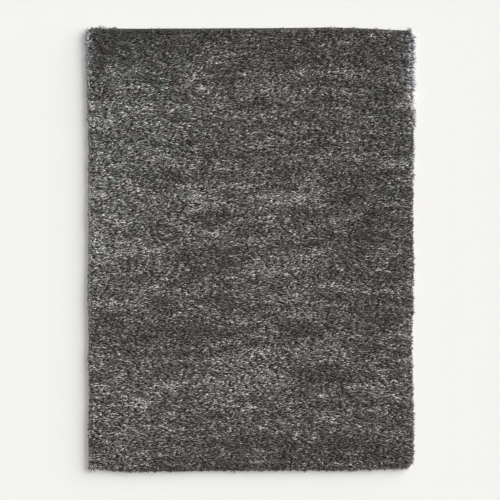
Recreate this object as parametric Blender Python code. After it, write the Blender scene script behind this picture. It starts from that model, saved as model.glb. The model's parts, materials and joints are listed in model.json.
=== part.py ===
"""Shag rug: a slab of lying pile with free locks of yarn at its rim, and a bound head end.

Metres, +Z up, the floor at Z = 0. The rug lies flat: +X runs across it to the right, +Y runs along
it from the foot end to the head end, and X = Y = 0 is the middle of its outline, locks included.
"""

import math
import random
from collections import namedtuple

import bmesh
import bpy
from mathutils import Vector, noise

# ---- Driving dimensions -------------------------------------------------------------------------

RUG_WIDTH = 1.684            # between the straight lines along the two side edges
RUG_LENGTH = 2.297           # between the straight lines along the foot and head ends
PILE_TOP = 0.0275            # mean height of the lying pile above the floor
SEAM_GAP = 0.0003            # clearance between the pile and the binding sewn to it

BINDING_WIDTH = 0.010        # how far the binding shows beyond the pile
BINDING_HEIGHT = 0.0058      # top of its round back above the floor
BINDING_ROUND = 0.0020       # rounding of its outer edges

WALL_SAG = 0.006             # how far the ground lies inside the edge of the pile over it
LOCK_UNDER = 0.0085          # height of a lock's underside at its root
LOCK_OVER = 0.0185           # height of its top side there
LOCK_WIDTH = 0.0130          # width of its root along the edge
BARE_LEAST = 0.006           # shortest bare wall between a lock and a corner
LOCK_LEAN = 0.45             # most that a lock leans along the edge, as a share of its length
LOCK_DROP = (-0.001, 0.008)  # how far its tip sinks below its root, least and most
LOCK_DROP_OVER_BINDING = 0.003
SHOULDER_IN = 0.0125         # where the pile turns from its side to its top
SHOULDER_DROP = 0.0035       # how much lower than the top that turn is
EDGE_ROUGHNESS = 0.0016      # how far the pile's edge wanders between one lock and the next

FIELD_PITCH = (0.050, 0.037) # spacing of the lumps on top: across the rug, as the nap lies, and along
FIELD_MARGIN = 0.046         # where the field of lumps starts, inside the edge
LUMP_JITTER = 0.30           # how far a lump strays from its place, as a share of the spacing
SWELL_HEIGHT = 0.0055        # broad rise and fall of the nap
SWELL_SIZE = (0.165, 0.105)  # its size across and along the rug
TUFT_HEIGHT = 0.0050         # most that one lump rises or falls beside the swell

MILLIMETRE = 0.001

# A lock's sections from root to tip: how far along it each one is, and its size beside the root.
Section = namedtuple("Section", "share size")
LOCK_SECTIONS = (Section(0.55, 0.68), Section(1.00, 0.22))

# Each side is walked with the rug on the left hand: foot, right, head, left.
# Reach: how far the pile's edge stands out from the straight line, in millimetres, at a place along.
# Locks: the spacing and length of the locks of yarn, up to a place along the side.
# Corner: the rounding at the side's end, and the length of the lock that sticks out of it.
Reach = namedtuple("Reach", "along out")
Locks = namedtuple("Locks", "upto pitch length")
Corner = namedtuple("Corner", "radius lock")
Side = namedtuple("Side", "name start heading outward length reach locks corner")

FOOT_REACH = (
    Reach(0.00, -12), Reach(0.07, -7), Reach(0.13, -1), Reach(0.20, 5), Reach(0.32, 4),
    Reach(0.51, 2), Reach(0.70, 0), Reach(1.13, -2), Reach(1.38, -2), Reach(1.45, -6),
    Reach(1.51, -7), Reach(1.57, -12), Reach(1.69, -16),
)
RIGHT_REACH = (
    Reach(0.00, -12), Reach(0.10, 2), Reach(0.23, 3), Reach(0.42, -1), Reach(0.60, -6),
    Reach(0.73, -5), Reach(0.85, 0), Reach(1.10, 3), Reach(1.23, -2), Reach(1.42, 0),
    Reach(1.67, 3), Reach(1.79, 4), Reach(2.04, -2), Reach(2.16, 3), Reach(2.29, -2),
)
HEAD_REACH = (
    Reach(0.00, -12), Reach(0.12, -8), Reach(0.18, -4), Reach(0.25, -1), Reach(0.31, 2),
    Reach(0.43, 5), Reach(0.56, 3), Reach(0.74, 1), Reach(0.93, 1), Reach(1.18, -1),
    Reach(1.30, 0), Reach(1.46, -3), Reach(1.56, 1), Reach(1.69, -3),
)
LEFT_REACH = (
    Reach(0.00, 6), Reach(0.07, 12), Reach(0.14, 11), Reach(0.32, 7), Reach(0.45, 4),
    Reach(0.51, 0), Reach(0.70, -2), Reach(0.89, 0), Reach(1.14, -2), Reach(1.38, 3),
    Reach(1.63, -3), Reach(1.70, 2), Reach(1.88, -5), Reach(2.07, 0), Reach(2.29, -1),
)

FOOT_LOCKS = (Locks(0.36, 0.034, 0.013), Locks(0.62, 0.040, 0.009), Locks(1.69, 0.038, 0.011))
RIGHT_LOCKS = (Locks(0.20, 0.034, 0.009), Locks(2.12, 0.033, 0.011), Locks(2.30, 0.030, 0.014))
HEAD_LOCKS = (Locks(0.40, 0.036, 0.014), Locks(1.10, 0.085, 0.012), Locks(1.54, 0.130, 0.012),
              Locks(1.69, 0.031, 0.018))
LEFT_LOCKS = (Locks(0.40, 0.031, 0.010), Locks(2.30, 0.033, 0.011))

# Finish of each piece: its colour, as linear light, and how rough it is
PILE_COLOUR = (0.099, 0.093, 0.087)
PILE_ROUGHNESS = 0.95
BINDING_COLOUR = (0.033, 0.034, 0.037)
BINDING_ROUGHNESS = 0.85

chance = random.Random(17)


# ---- The outline --------------------------------------------------------------------------------

def rug_sides():
    """The four sides of the pile. The head one lies inside the binding that is sewn to it."""
    half = RUG_WIDTH / 2
    foot = -RUG_LENGTH / 2
    head = RUG_LENGTH / 2 - BINDING_WIDTH - SEAM_GAP
    along = head - foot
    return (
        Side("foot", Vector((-half, foot)), Vector((1, 0)), Vector((0, -1)), RUG_WIDTH,
             FOOT_REACH, FOOT_LOCKS, Corner(0.042, 0.008)),
        Side("right", Vector((half, foot)), Vector((0, 1)), Vector((1, 0)), along,
             RIGHT_REACH, RIGHT_LOCKS, Corner(0.022, 0.018)),
        Side("head", Vector((half, head)), Vector((-1, 0)), Vector((0, 1)), RUG_WIDTH,
             HEAD_REACH, HEAD_LOCKS, Corner(0.022, 0.015)),
        Side("left", Vector((-half, head)), Vector((0, -1)), Vector((-1, 0)), along,
             LEFT_REACH, LEFT_LOCKS, Corner(0.022, 0.020)),
    )


def reach_at(side, along):
    """How far out the pile's edge stands there, in metres, on a smooth line through the table."""
    rows = side.reach
    for here, there in zip(rows, rows[1:]):
        if along <= there.along:
            share = max(0.0, (along - here.along) / (there.along - here.along))
            ease = share * share * (3 - 2 * share)
            return (here.out + (there.out - here.out) * ease) * MILLIMETRE
    return rows[-1].out * MILLIMETRE


def locks_at(side, along):
    """The row of the side's table of locks that holds there."""
    for row in side.locks:
        if along < row.upto:
            return row
    return side.locks[-1]


# A station is a place on the pile's edge. The wall from it to the next one carries a lock where
# lock, the lock's length, isn't zero.
Station = namedtuple("Station", "side place outward lock")


def side_stations(side, first, last):
    """Stations along the straight of a side: each lock's root, then the bare wall up to the next."""
    stations = []
    wander = 0.0 if side.name == "head" else EDGE_ROUGHNESS
    along = first
    while along + LOCK_WIDTH + BARE_LEAST < last:
        row = locks_at(side, along)
        length = row.length * chance.uniform(0.7, 1.3)
        for distance, lock in ((along, length), (along + LOCK_WIDTH, 0.0)):
            out = reach_at(side, distance) + chance.uniform(-1, 1) * wander
            place = side.start + side.heading * distance + side.outward * out
            stations.append(Station(side.name, place, side.outward, lock))
        along += row.pitch * chance.uniform(0.88, 1.12)
    return stations


def corner_stations(side, following):
    """Stations from the end of a side's straight round its corner, with a lock in the middle."""
    radius = side.corner.radius
    point = following.start + side.outward * reach_at(side, side.length)
    point += following.outward * reach_at(following, 0.0)
    centre = point - (side.outward + following.outward) * radius
    half_root = LOCK_WIDTH / 2 / radius
    middle = math.radians(45)
    stations = [Station(side.name, centre + side.outward * radius, side.outward, 0.0)]
    for angle, lock in ((middle - half_root, side.corner.lock), (middle + half_root, 0.0)):
        outward = side.outward * math.cos(angle) + following.outward * math.sin(angle)
        stations.append(Station("corner", centre + outward * radius, outward, lock))
    return stations


def rim_stations():
    """All the stations, once round the rug against the clock, from its left corner at the foot."""
    sides = rug_sides()
    stations = []
    for index, side in enumerate(sides):
        before = sides[index - 1]
        following = sides[(index + 1) % len(sides)]
        first = before.corner.radius - reach_at(before, before.length)
        last = side.length + reach_at(following, 0.0) - side.corner.radius
        stations += side_stations(side, first, last)
        stations += corner_stations(side, following)
    return stations


# ---- The pile -----------------------------------------------------------------------------------

def nap_height(place):
    """Height of the lying pile: a broad swell, and the rise or fall of one lump beside the next."""
    swell = noise.noise(Vector((place.x / SWELL_SIZE[0], place.y / SWELL_SIZE[1], 0.0)))
    return PILE_TOP + SWELL_HEIGHT * swell + TUFT_HEIGHT * chance.uniform(-1, 1)


def add_point(mesh, place, height):
    return mesh.verts.new((place.x, place.y, height))


def add_ground_row(mesh, stations):
    """Where the rug meets the floor. The pile stands out over it, but not where the binding lies."""
    row = []
    for station in stations:
        inset = 0.0 if station.side == "head" else WALL_SAG
        row.append(add_point(mesh, station.place - station.outward * inset, 0.0))
    return row


def add_shoulder_row(mesh, stations):
    """Where the side of the pile turns into its top, a little uneven."""
    row = []
    for station in stations:
        inset = SHOULDER_IN
        if station.side != "corner":
            inset *= chance.uniform(0.8, 1.2)
        place = station.place - station.outward * inset
        row.append(add_point(mesh, place, nap_height(place) - SHOULDER_DROP))
    return row


def add_wall(mesh, lower, upper, stations=None):
    """Faces between two rows round the rug. With the stations, the locks grow out of their roots."""
    count = len(lower)
    for index in range(count):
        after = (index + 1) % count
        root = (lower[index], lower[after], upper[after], upper[index])
        if stations and stations[index].lock:
            add_lock(mesh, root, stations[index], stations[after])
        else:
            mesh.faces.new(root)


def add_lock(mesh, root, station, after):
    """A free lock of yarn: four sides drawn out from its root, leaning, sinking and tapered."""
    outward = (station.outward + after.outward).normalized().to_3d()
    sideways = Vector((-outward.y, outward.x, 0.0))
    over_binding = station.side == "head" or after.side == "head"
    drop_most = LOCK_DROP_OVER_BINDING if over_binding else LOCK_DROP[1]
    lean = sideways * chance.uniform(-1, 1) * LOCK_LEAN * station.lock
    drop = Vector((0, 0, -chance.uniform(LOCK_DROP[0], drop_most)))
    middle = sum((point.co for point in root), Vector()) / len(root)
    spread = [point.co - middle for point in root]
    section = list(root)
    for share, size in LOCK_SECTIONS:
        centre = middle + (outward * station.lock + lean) * share + drop * share * share
        further = [mesh.verts.new(centre + offset * size) for offset in spread]
        for corner in range(4):
            beside = (corner + 1) % 4
            mesh.faces.new((section[corner], section[beside], further[beside], further[corner]))
        section = further
    mesh.faces.new(section)


def add_field(mesh):
    """The even field of lumps. Returns the row of points round its edge, against the clock."""
    left = -RUG_WIDTH / 2 + FIELD_MARGIN
    foot = -RUG_LENGTH / 2 + FIELD_MARGIN
    width = RUG_WIDTH - 2 * FIELD_MARGIN
    length = RUG_LENGTH - BINDING_WIDTH - 2 * FIELD_MARGIN
    columns = round(width / FIELD_PITCH[0])
    rows = round(length / FIELD_PITCH[1])
    grid = []
    for column in range(columns + 1):
        line = []
        for row in range(rows + 1):
            place = Vector((left + width * column / columns, foot + length * row / rows))
            if 0 < column < columns and 0 < row < rows:
                stray = Vector((chance.uniform(-1, 1), chance.uniform(-1, 1)))
                place += stray * Vector(FIELD_PITCH) * LUMP_JITTER
            line.append(add_point(mesh, place, nap_height(place)))
        grid.append(line)
    for column in range(columns):
        for row in range(rows):
            mesh.faces.new((grid[column][row], grid[column + 1][row],
                            grid[column + 1][row + 1], grid[column][row + 1]))
    edge = [line[0] for line in grid[:-1]]
    edge += grid[-1][:-1]
    edge += [line[-1] for line in reversed(grid[1:])]
    edge += list(reversed(grid[0][1:]))
    return edge


def shares_round(row):
    """How far round the rug each point of a row is: 0 at the foot's left corner, and 4 back there."""
    left = min(point.co.x for point in row)
    right = max(point.co.x for point in row)
    foot = min(point.co.y for point in row)
    head = max(point.co.y for point in row)
    shares = []
    for point in row:
        u = 2 * (point.co.x - left) / (right - left) - 1
        v = 2 * (point.co.y - foot) / (head - foot) - 1
        if -v >= abs(u):
            shares.append((1 + u) / 2)
        elif u >= abs(v):
            shares.append(1 + (1 + v) / 2)
        elif v >= abs(u):
            shares.append(2 + (1 - u) / 2)
        else:
            shares.append(3 + (1 - v) / 2)
    return shares + [4.0]


def add_band(mesh, outer, inner):
    """Triangles between two rows that run the same way round, whose points don't pair up."""
    outer_shares = shares_round(outer)
    inner_shares = shares_round(inner)
    i = 0
    j = 0
    while i < len(outer) or j < len(inner):
        here = outer[i % len(outer)]
        there = inner[j % len(inner)]
        inner_done = j == len(inner)
        if inner_done or (i < len(outer) and outer_shares[i + 1] <= inner_shares[j + 1]):
            i += 1
            mesh.faces.new((here, outer[i % len(outer)], there))
        else:
            j += 1
            mesh.faces.new((here, inner[j % len(inner)], there))


def add_underside(mesh, ground):
    """The flat back of the rug, as triangles that all meet in its middle."""
    middle = mesh.verts.new((0.0, 0.0, 0.0))
    for index in range(len(ground)):
        mesh.faces.new((ground[index], middle, ground[(index + 1) % len(ground)]))


def build_pile(stations):
    """The rug's cloth and pile in one closed slab, flat below and lumpy on top."""
    mesh = bmesh.new()
    ground = add_ground_row(mesh, stations)
    under = [add_point(mesh, station.place, LOCK_UNDER) for station in stations]
    over = [add_point(mesh, station.place, LOCK_OVER) for station in stations]
    shoulder = add_shoulder_row(mesh, stations)
    add_underside(mesh, ground)
    add_wall(mesh, ground, under)
    add_wall(mesh, under, over, stations)
    add_wall(mesh, over, shoulder)
    add_band(mesh, shoulder, add_field(mesh))
    return finish_piece("shag_pile", mesh, wool_finish("charcoal_shag", PILE_COLOUR, PILE_ROUGHNESS))


# ---- The binding --------------------------------------------------------------------------------

def binding_section():
    """Outline of the binding's section, as how far out and how high: flat below, round on its back."""
    width = BINDING_WIDTH
    height = BINDING_HEIGHT
    bevel = BINDING_ROUND
    return (
        (0.0, 0.0),
        (width - bevel, 0.0),
        (width, bevel),
        (width, height - 1.5 * bevel),
        (width - 1.3 * bevel, height - 0.25 * bevel),
        (width / 2, height),
        (0.0, height - 0.4 * bevel),
    )


def build_binding(stations):
    """The binding along the head end, a seam's gap away from the pile and as uneven as its edge."""
    mesh = bmesh.new()
    outline = binding_section()
    sections = []
    for station in stations:
        if station.side == "head":
            inner = station.place + station.outward * SEAM_GAP
            sections.append([add_point(mesh, inner + station.outward * out, height)
                             for out, height in outline])
    for section, further in zip(sections, sections[1:]):
        for index in range(len(outline)):
            after = (index + 1) % len(outline)
            mesh.faces.new((section[after], section[index], further[index], further[after]))
    mesh.faces.new(sections[0])
    mesh.faces.new(list(reversed(sections[-1])))
    return finish_piece("head_binding", mesh,
                        wool_finish("dark_binding", BINDING_COLOUR, BINDING_ROUGHNESS))


# ---- Objects ------------------------------------------------------------------------------------

def wool_finish(name, colour, roughness):
    finish = bpy.data.materials.new(name)
    finish.use_nodes = True
    shader = finish.node_tree.nodes["Principled BSDF"]
    shader.inputs["Base Color"].default_value = (*colour, 1.0)
    shader.inputs["Roughness"].default_value = roughness
    shader.inputs["Metallic"].default_value = 0.0
    return finish


def finish_piece(name, mesh, finish):
    """Turns the built faces into an object of that name, smooth but for its sharp edges."""
    data = bpy.data.meshes.new(name)
    mesh.to_mesh(data)
    mesh.free()
    data.materials.append(finish)
    data.shade_smooth()
    data.set_sharp_from_angle(angle=math.radians(50))
    piece = bpy.data.objects.new(name, data)
    bpy.context.scene.collection.objects.link(piece)
    return piece


def centre_over_origin(pieces):
    """Slides all the pieces together, so that the middle of their outline is at X = Y = 0."""
    points = [vertex.co for piece in pieces for vertex in piece.data.vertices]
    x = (min(point.x for point in points) + max(point.x for point in points)) / 2
    y = (min(point.y for point in points) + max(point.y for point in points)) / 2
    for piece in pieces:
        for vertex in piece.data.vertices:
            vertex.co -= Vector((x, y, 0.0))


def main():
    for old in list(bpy.data.objects):
        bpy.data.objects.remove(old)
    stations = rim_stations()
    centre_over_origin([build_pile(stations), build_binding(stations)])


main()
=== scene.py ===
"""Shag rug: the looks. Metres, +Z up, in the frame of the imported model.

The ground cloth and the dense roots of the pile are two closed meshes. The yarns that lie over them
are grown by Geometry Nodes, in bands along the rug, each yarn a bent, tapering tube. So are the
stitches that wind round the binding at the head end.
"""

import json
import math
from collections import namedtuple

import bpy
import numpy as np
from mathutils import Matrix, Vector
from mathutils.bvhtree import BVHTree

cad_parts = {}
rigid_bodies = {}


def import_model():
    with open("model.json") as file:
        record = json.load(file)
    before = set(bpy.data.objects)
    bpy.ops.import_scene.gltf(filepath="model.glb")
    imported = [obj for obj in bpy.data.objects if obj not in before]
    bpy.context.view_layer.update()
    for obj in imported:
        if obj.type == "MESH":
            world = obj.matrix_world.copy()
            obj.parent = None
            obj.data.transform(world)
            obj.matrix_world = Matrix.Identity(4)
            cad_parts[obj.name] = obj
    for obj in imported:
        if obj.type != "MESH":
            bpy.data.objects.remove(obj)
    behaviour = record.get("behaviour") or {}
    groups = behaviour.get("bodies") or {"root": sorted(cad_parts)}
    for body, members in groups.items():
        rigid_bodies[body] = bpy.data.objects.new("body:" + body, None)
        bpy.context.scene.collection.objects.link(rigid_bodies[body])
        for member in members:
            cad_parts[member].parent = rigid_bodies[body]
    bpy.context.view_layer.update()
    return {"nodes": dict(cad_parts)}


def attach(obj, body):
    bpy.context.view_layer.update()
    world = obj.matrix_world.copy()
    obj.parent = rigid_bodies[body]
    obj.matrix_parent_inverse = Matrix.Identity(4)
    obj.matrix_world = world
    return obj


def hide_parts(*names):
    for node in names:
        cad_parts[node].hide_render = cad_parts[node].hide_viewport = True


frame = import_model()

MM = 0.001

# ---- Sizes --------------------------------------------------------------------------------------

EDGE_HEIGHT = 18.5 * MM          # the slab's edge is read at this height, where its locks begin
GROUND_THICKNESS = 2.2 * MM      # woven ground cloth with its latex
GROUND_INSET = 9 * MM            # how far the cloth ends inside the pile's edge
GROUND_THREADS = 3 * MM          # spacing of its threads
CLEARANCE = 0.3 * MM             # between pieces that lie on each other

PILE_OVER_ROOTS = 9 * MM         # how far the slab's surface lies above the dense roots
ROOTS_INSET = 5 * MM             # how far the roots' wall stands inside the pile's edge
ROOTS_SHOULDER = 7 * MM          # how far in from that wall they reach their full height
ROOTS_WALL_SHARE = 0.62          # of their height that the wall stands upright
ROOTS_CELLS = (56, 76)           # cells of their surface, across and along the rug
RIM_CELL = 4 * MM                # of the strip round the edge that the rim's yarns stand in
RimRow = namedtuple("RimRow", "inset height")
RIM_ROWS = (RimRow(15 * MM, 17 * MM), RimRow(9 * MM, 13 * MM), RimRow(5 * MM, 6 * MM))

YARN_REACH = 23 * MM             # of a yarn of ordinary size, from its root to its end
YARNS_PER_M2 = 46000.0
YARNS_APART = 3.8 * MM
BANDS = 6                        # pieces that the yarns are grown in, along the rug
BANDS_FROM, BANDS_TO = -1.2, 1.2     # the stretch of the rug that they share out
RIM_YARNS_PER_M2 = 80000.0
RIM_YARNS_APART = 3.3 * MM
TUFT_YARNS_PER_M2 = 200000.0
TUFT_YARNS_APART = 2.4 * MM
LOWEST_ROOT = 4.2 * MM           # no yarn starts lower down the wall of the roots
LOWEST_YARN = 0.6 * MM           # no part of a yarn lies lower over the floor
WAVES_PER_M = 60.0               # small waves in the lying yarns
WAVE_WIDTH = 5 * MM              # how far they move a yarn, from one side to the other

STITCH_PITCH = 3.4 * MM          # between the overcast stitches of the binding
STITCH_THREAD = 2.6 * MM         # width of one stitch's thread
STITCH_THICKNESS = 0.7           # of it, as a share of that width
STITCH_SLANT = 14                # degrees that a stitch leans along the edge

TONES = 24                       # shades in each family of colour, from dark to light
FAMILIES = 4                     # neutral, warm, greenish and bluish grey
KINDS = TONES * FAMILIES
STRIP_MARGIN = 0.15              # of a kind's strip of the map, left free on both sides
UV_NAME = "OFBake"

SAME_PLACE = 1e-5                # heights nearer to each other than this are the same
CORNERS = ((-1, -1), (1, -1), (1, 1), (-1, 1))

# How far yarns may hang past the pile's edge: on the left, at the foot, at the four corners, along
# the right in stretches from the foot up, and along the head in stretches from the left to the
# right, where the binding is covered or bare. Below zero they end inside the edge.
LEFT_OVERHANG = -4 * MM
FOOT_OVERHANG = -2.5 * MM
CORNER_OVERHANG = {(-1, 1): 10 * MM, (1, 1): 11 * MM, (-1, -1): 2 * MM, (1, -1): 10 * MM}
Stretch = namedtuple("Stretch", "upto overhang")
RIGHT_STRETCHES = (
    Stretch(0.65, 1.5 * MM),
    Stretch(1.20, 16 * MM),
)
HEAD_STRETCHES = (
    Stretch(-0.735, 11 * MM),
    Stretch(-0.10, 0 * MM),
    Stretch(0.15, 3 * MM),
    Stretch(0.90, 3.5 * MM),
)
CORNER_WAY = 0.3                 # both parts of the way out are more than this at a corner
LOCK_HEIGHT = 12 * MM            # where a lock's length is read, as a level ray out of the edge
LOCK_SHARE = 1.1                 # of a lock's length that the yarns in it fill

# Tufts that stick out by themselves: the way they point, in degrees from +X, their reach, the side
# of the patch that they grow on, in millimetres, and how much lighter they are than the rest.
Tuft = namedtuple("Tuft", "across along way reach patch lighter")
TUFTS = (
    Tuft(-0.834, 1.118, 132, 30, 16, 0.15),      # head, left corner
    Tuft(-0.838, 1.130, 100, 24, 14, 0.05),
    Tuft(-0.822, 1.134, 80, 24, 13, 0.00),
    Tuft(-0.803, 1.137, 68, 25, 13, 0.00),
    Tuft(-0.784, 1.138, 64, 27, 13, 0.05),
    Tuft(-0.764, 1.138, 62, 28, 13, 0.00),
    Tuft(-0.745, 1.138, 78, 23, 12, 0.10),
    Tuft(-0.726, 1.139, 85, 19, 15, -0.10),
    Tuft(-0.706, 1.139, 92, 19, 15, -0.10),
    Tuft(-0.840, 1.100, 165, 22, 12, 0.12),
    Tuft(-0.840, 1.076, 178, 21, 10, 0.12),
    Tuft(0.817, 1.124, 72, 34, 13, 0.05),        # head, right corner
    Tuft(0.828, 1.118, 60, 30, 13, 0.10),
    Tuft(0.836, 1.108, 12, 24, 10, 0.25),
    Tuft(-0.832, -1.114, 248, 24, 9, 0.00),      # foot, left corner
    Tuft(-0.815, -1.116, 262, 23, 10, 0.05),
    Tuft(0.817, -1.100, 310, 30, 13, 0.00),      # foot, right corner
    Tuft(0.824, -1.088, 330, 24, 12, 0.00),
    Tuft(0.804, -1.108, 292, 27, 14, 0.00),
    Tuft(0.788, -1.116, 265, 24, 9, 0.05),
    Tuft(0.767, -1.116, 255, 24, 8, 0.05),
    Tuft(0.738, -1.117, 275, 23, 8, 0.05),
    Tuft(-0.695, -1.120, 262, 24, 9, 0.10),      # foot
    Tuft(-0.648, -1.120, 275, 24, 14, 0.10),
    Tuft(-0.487, -1.120, 285, 24, 8, 0.00),
    Tuft(-0.263, -1.120, 258, 24, 8, 0.00),
    Tuft(-0.060, -1.120, 268, 23, 7, 0.00),
    Tuft(0.189, -1.120, 265, 24, 8, 0.00),
    Tuft(0.412, -1.120, 280, 24, 9, 0.00),
    Tuft(0.542, -1.118, 270, 24, 8, 0.00),
    Tuft(-0.513, 1.136, 80, 22, 9, 0.00),        # head
    Tuft(-0.471, 1.136, 105, 22, 11, 0.05),
    Tuft(-0.243, 1.135, 100, 22, 9, 0.00),
    Tuft(-0.170, 1.134, 75, 22, 9, 0.05),
    Tuft(-0.102, 1.134, 95, 22, 8, 0.00),
    Tuft(-0.071, 1.134, 80, 22, 8, 0.05),
    Tuft(0.170, 1.134, 100, 23, 14, 0.05),
    Tuft(0.302, 1.134, 80, 24, 18, 0.05),
    Tuft(0.360, 1.133, 110, 22, 10, 0.00),
    Tuft(0.422, 1.133, 90, 25, 24, 0.05),
    Tuft(0.530, 1.131, 90, 25, 24, 0.00),
    Tuft(0.650, 1.129, 90, 25, 20, 0.05),
    Tuft(0.720, 1.128, 95, 22, 10, 0.00),
)

# Painted light and shade: lighter and darker areas of the pile's colour, where it is brushed towards
# the light or away from it, and lighter rims where the rim yarns lie in shade.
Area = namedtuple("Area", "across along wide long lighter")
PAINTED_LIGHT_AREAS = (
    Area(0.00, 1.12, 1.50, 0.11, -0.14),         # along the edges
    Area(-0.45, 1.12, 0.40, 0.07, -0.17),
    Area(-0.68, 1.10, 0.08, 0.035, -0.16),
    Area(-0.42, 1.14, 0.38, 0.02, -0.06),
    Area(-0.79, 1.02, 0.05, 0.18, -0.13),
    Area(0.00, -1.135, 2.00, 0.03, -0.10),
    Area(0.30, -1.07, 0.75, 0.07, -0.14),
    Area(-0.64, -1.09, 0.25, 0.03, 0.14),
    Area(0.25, -1.06, 0.14, 0.08, 0.17),
    # lighter rims, painted light: the left rim's yarns lie in shade, the right rim's in a shaded furrow
    Area(-0.82, -0.10, 0.04, 0.95, 0.12),
    Area(-0.848, 0.10, 0.016, 0.95, 0.18),
    Area(-0.850, 1.02, 0.018, 0.22, 0.80),
    Area(0.845, 0.00, 0.02, 3.00, 0.10),
    Area(0.850, 0.90, 0.016, 0.26, 0.55),
    Area(0.823, 0.92, 0.012, 0.25, 0.30),
    Area(-0.80, 0.28, 0.25, 0.48, 0.20),         # inside
    Area(-0.59, 0.79, 0.09, 0.06, -0.07),
    Area(-0.29, 1.03, 0.10, 0.05, -0.07),
    Area(-0.84, 0.05, 0.04, 0.06, -0.18),
    Area(-0.78, 0.73, 0.15, 0.10, 0.10),
    Area(-0.50, 0.75, 0.10, 0.07, 0.10),
    Area(-0.25, 0.35, 0.10, 0.70, 0.06),
    Area(-0.11, 0.39, 0.55, 0.03, -0.14),
    Area(-0.16, 0.27, 0.45, 0.04, 0.14),
    Area(0.14, 0.26, 0.12, 0.05, 0.30),
    Area(-0.37, 0.20, 0.28, 0.03, -0.13),
    Area(-0.65, -0.03, 0.12, 0.08, 0.10),
    Area(-0.21, -0.06, 0.12, 0.04, -0.10),
    Area(0.22, 0.02, 0.12, 0.08, -0.08),
    Area(0.60, 0.05, 0.14, 0.45, -0.10),
    Area(0.68, 0.85, 0.10, 0.15, -0.14),
    Area(0.38, 0.86, 0.10, 0.06, 0.12),
    Area(0.60, -0.03, 0.12, 0.07, -0.10),
    Area(-0.42, -0.44, 0.45, 0.04, -0.14),
    Area(0.21, -0.42, 0.08, 0.05, -0.12),
    Area(0.10, -0.56, 0.28, 0.04, 0.11),
    Area(-0.55, -0.75, 0.45, 0.20, 0.09),
    Area(0.42, -0.64, 0.10, 0.05, -0.13),
    Area(-0.75, -0.79, 0.08, 0.05, -0.12),
    Area(-0.33, -0.91, 0.10, 0.04, -0.14),
    Area(-0.25, -1.02, 0.12, 0.06, -0.08),
    Area(0.21, -0.84, 0.08, 0.05, 0.13),
    Area(0.44, -0.99, 0.10, 0.04, -0.14),
    Area(0.82, -0.84, 0.07, 0.16, -0.14),
)

# Areas where more of the yarns are greenish or bluish than warm grey, in patches.
HueArea = namedtuple("HueArea", "across along wide long share")
GREENISH_AREAS = (
    HueArea(-0.68, 0.98, 0.36, 0.34, 1.10),
    HueArea(-0.68, 0.38, 0.30, 0.42, 0.70),
    HueArea(-0.35, 1.12, 0.40, 0.05, 0.50),
    HueArea(0.10, 0.55, 0.90, 0.50, 0.17),
    HueArea(0.75, 0.60, 0.22, 0.45, 0.40),
)
BLUISH_AREAS = (
    HueArea(-0.853, 1.05, 0.04, 0.22, 1.10),
    HueArea(0.845, 0.90, 0.06, 0.35, 0.90),
    HueArea(-0.85, 0.20, 0.03, 1.20, 0.60),
    HueArea(0.85, 0.10, 0.02, 1.20, 0.60),
    HueArea(-0.50, 1.16, 0.50, 0.04, 0.70),
)
HUE_PATCH = 85 * MM              # size of the patches that those yarns come in
HUE_LEAST, HUE_MOST = -0.7, 2.3  # what the shares are multiplied by, from patch to patch
WARM_SHARE = 0.3                 # of the other yarns

# A yarn's shade as a share of the way from dark to light: what chance gives it, what its tuft adds,
# and what soft patches add. Each pattern is drawn together across the rug to a share of its width,
# so that what it makes comes out longer across by as much.
CHANCE_POWER, CHANCE_RANGE, DARKEST = 1.8, 0.67, 0.14
TUFT_SIZE, TUFT_DRAWN, TUFT_RANGE = 9 * MM, 0.36, 0.06
Patches = namedtuple("Patches", "drawn size low high")
ROW_PATCHES = Patches(0.16, 34 * MM, -0.17, 0.17)
BROAD_PATCHES = Patches(0.5, 110 * MM, -0.06, 0.06)
PALE_GROUPS = Patches(0.26, 17 * MM, -0.65, 0.27)    # what is below zero in them adds nothing

# How the pile lies: its rise to the right in radians, from one place along the rug to another, its
# swirls, and how unevenly the yarns end at the edge.
RISE_FROM, RISE_TO = -0.5, 0.6
RISE_AT_FOOT, RISE_AT_HEAD = 0.06, 0.22
SWIRL_SIZE, SWIRL = 0.16, 0.12
ROLL, PITCH_UP, PITCH_DOWN = 0.3, 0.16, 0.12
SHORTEST, UNEVEN = 0.72, 0.35        # shares of the room before the edge
LOCK_WIDTH, LOCK_UNEVEN = 22 * MM, 0.2
LEAST_OUTWARD = 0.05                 # stands for the way of yarns that lie along the edge


# ---- Helpers ------------------------------------------------------------------------------------

def linear(hex_colour):
    """An sRGB hex colour as linear RGBA."""
    values = [int(hex_colour[i:i + 2], 16) / 255 for i in (1, 3, 5)]
    return (*[v / 12.92 if v <= 0.04045 else ((v + 0.055) / 1.055) ** 2.4 for v in values], 1.0)


def feed(tree, node, inputs):
    """Gives a node's inputs, by name or number, a value or the output that feeds it."""
    for key, value in inputs.items():
        if isinstance(value, bpy.types.NodeSocket):
            tree.links.new(value, node.inputs[key])
        else:
            node.inputs[key].default_value = value


def add(tree, kind, inputs=None, **settings):
    """Adds a node with its inputs and its settings."""
    made = tree.nodes.new(kind)
    for name, value in settings.items():
        setattr(made, name, value)
    feed(tree, made, inputs or {})
    return made


def calculate(tree, operation, *values):
    """A sum on single numbers, as a node's output."""
    return add(tree, "ShaderNodeMath", dict(enumerate(values)), operation=operation).outputs[0]


def calculate_vector(tree, operation, first, second):
    """A sum on two vectors, part by part."""
    return add(tree, "ShaderNodeVectorMath", {0: first, 1: second}, operation=operation).outputs[0]


def combine(tree, x=0.0, y=0.0, z=0.0):
    """Three numbers as one vector."""
    return add(tree, "ShaderNodeCombineXYZ", {0: x, 1: y, 2: z}).outputs[0]


def rescaled(tree, value, before, after, clamp=True):
    """A number taken from one range to another."""
    return add(tree, "ShaderNodeMapRange", {"Value": value, "From Min": before[0],
                                            "From Max": before[1], "To Min": after[0],
                                            "To Max": after[1]}, clamp=clamp).outputs[0]


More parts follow.
